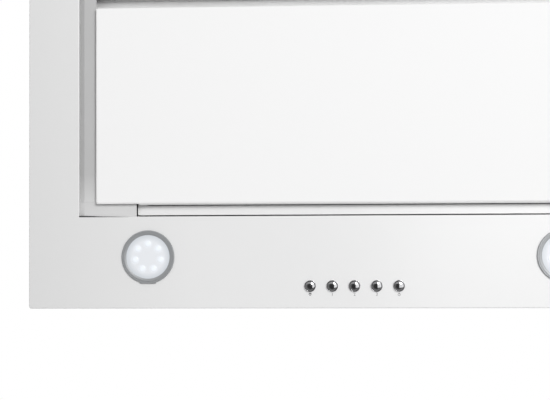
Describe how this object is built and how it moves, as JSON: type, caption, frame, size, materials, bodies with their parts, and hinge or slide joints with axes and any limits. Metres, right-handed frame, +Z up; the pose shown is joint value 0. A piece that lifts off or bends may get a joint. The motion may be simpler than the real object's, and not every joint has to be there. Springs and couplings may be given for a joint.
{
  "type": "built-in range hood insert",
  "caption": "Built-in range hood insert: white flush frame, edge-suction drop-down panel, round lamps, push buttons, grease filter, centrifugal blower and round duct outlet.",
  "frame": {"origin": "centre of the bounding box's lowest plane, the underside of the suction panel", "axes": "+X to the hood's right as the cook sees it, +Y to the wall behind, +Z up to the duct"},
  "size_m": [0.525, 0.29, 0.2282],
  "materials": {
    "white_enamel": "gloss",
    "white_glass": "gloss",
    "galvanised": "satin",
    "plated_steel": "satin",
    "black_moulding": "matte",
    "grey_moulding": "satin",
    "lamp_ring_grey": "satin",
    "lens": "frosted",
    "board": "satin",
    "dark_chrome": "polished",
    "filter_aluminium": "satin",
    "motor_steel": "satin",
    "magnet": "matte",
    "capacitor_can": "satin",
    "heat_sink": "satin",
    "switch_moulding": "satin"
  },
  "bodies": {
    "hood": {"face_frame": "white_enamel", "flange_nuts": "plated_steel", "intake_tray": "white_enamel", "front_strip": "white_enamel", "strip_rivets": "plated_steel", "front_sheet": "galvanised", "rear_sheet": "galvanised", "left_side_sheet": "galvanised", "right_side_sheet": "galvanised", "side_rivets": "plated_steel", "top_sheet": "galvanised", "top_sheet_screws": "plated_steel", "outlet_collar": "black_moulding", "collar_screws": "plated_steel", "flap_pin": "plated_steel", "left_scroll": "black_moulding", "right_scroll": "black_moulding", "motor": "motor_steel", "motor_bracket": "galvanised", "hinge_brackets": "plated_steel", "hinge_pins": "plated_steel", "panel_magnets": "magnet", "filter_frame": "filter_aluminium", "filter_core": "filter_aluminium", "filter_skins": "filter_aluminium", "left_lamp_ring": "lamp_ring_grey", "left_lamp_lens": "lens", "left_lamp_board": "board", "left_lamp_body": "heat_sink", "right_lamp_ring": "lamp_ring_grey", "right_lamp_lens": "lens", "right_lamp_board": "board", "right_lamp_body": "heat_sink", "lamp_springs": "plated_steel", "switch_housing": "switch_moulding", "button_rings": "dark_chrome", "terminal_box": "grey_moulding", "terminal_lid": "grey_moulding", "terminal_screws": "plated_steel", "cord_gland": "black_moulding", "led_driver": "black_moulding", "capacitor": "capacitor_can", "capacitor_strap": "plated_steel", "side_springs": "plated_steel"},
    "panel": {"panel_glass": "white_glass", "panel_carrier": "galvanised", "panel_hinge_leaves": "plated_steel", "panel_strikes": "plated_steel"},
    "fan": {"fan_wheel": "black_moulding", "fan_shaft": "plated_steel"},
    "front_flap": {"front_flap": "grey_moulding"},
    "rear_flap": {"rear_flap": "grey_moulding"},
    "filter_latch": {"filter_latch": "black_moulding"},
    "button_1": {"button_1": "dark_chrome"},
    "button_2": {"button_2": "dark_chrome"},
    "button_3": {"button_3": "dark_chrome"},
    "button_4": {"button_4": "dark_chrome"},
    "button_5": {"button_5": "dark_chrome"}
  },
  "joints": [
    {"name": "panel_hinge", "type": "hinge", "parent": "hood", "child": "panel", "pos_m": [0, 0.09, 0.008], "axis": [1, 0, 0], "range_deg": [0, 90]},
    {"name": "fan_spin", "type": "hinge", "parent": "hood", "child": "fan", "pos_m": [0, 0.018, 0.101], "axis": [1, 0, 0], "continuous": true},
    {"name": "front_flap_hinge", "type": "hinge", "parent": "hood", "child": "front_flap", "pos_m": [0, 0.0425, 0.1832], "axis": [-1, 0, 0], "range_deg": [0, 75]},
    {"name": "rear_flap_hinge", "type": "hinge", "parent": "hood", "child": "rear_flap", "pos_m": [0, 0.0425, 0.1832], "axis": [1, 0, 0], "range_deg": [0, 75]},
    {"name": "filter_latch_slide", "type": "slide", "parent": "hood", "child": "filter_latch", "axis": [0, 1, 0], "range_m": [0, 0.006], "stiffness_N_per_m": 300},
    {"name": "button_1_press", "type": "slide", "parent": "hood", "child": "button_1", "axis": [0, 0, 1], "range_m": [0, 0.0025], "stiffness_N_per_m": 600},
    {"name": "button_2_press", "type": "slide", "parent": "hood", "child": "button_2", "axis": [0, 0, 1], "range_m": [0, 0.0025], "stiffness_N_per_m": 600},
    {"name": "button_3_press", "type": "slide", "parent": "hood", "child": "button_3", "axis": [0, 0, 1], "range_m": [0, 0.0025], "stiffness_N_per_m": 600},
    {"name": "button_4_press", "type": "slide", "parent": "hood", "child": "button_4", "axis": [0, 0, 1], "range_m": [0, 0.0025], "stiffness_N_per_m": 600},
    {"name": "button_5_press", "type": "slide", "parent": "hood", "child": "button_5", "axis": [0, 0, 1], "range_m": [0, 0.0025], "stiffness_N_per_m": 600}
  ]
}
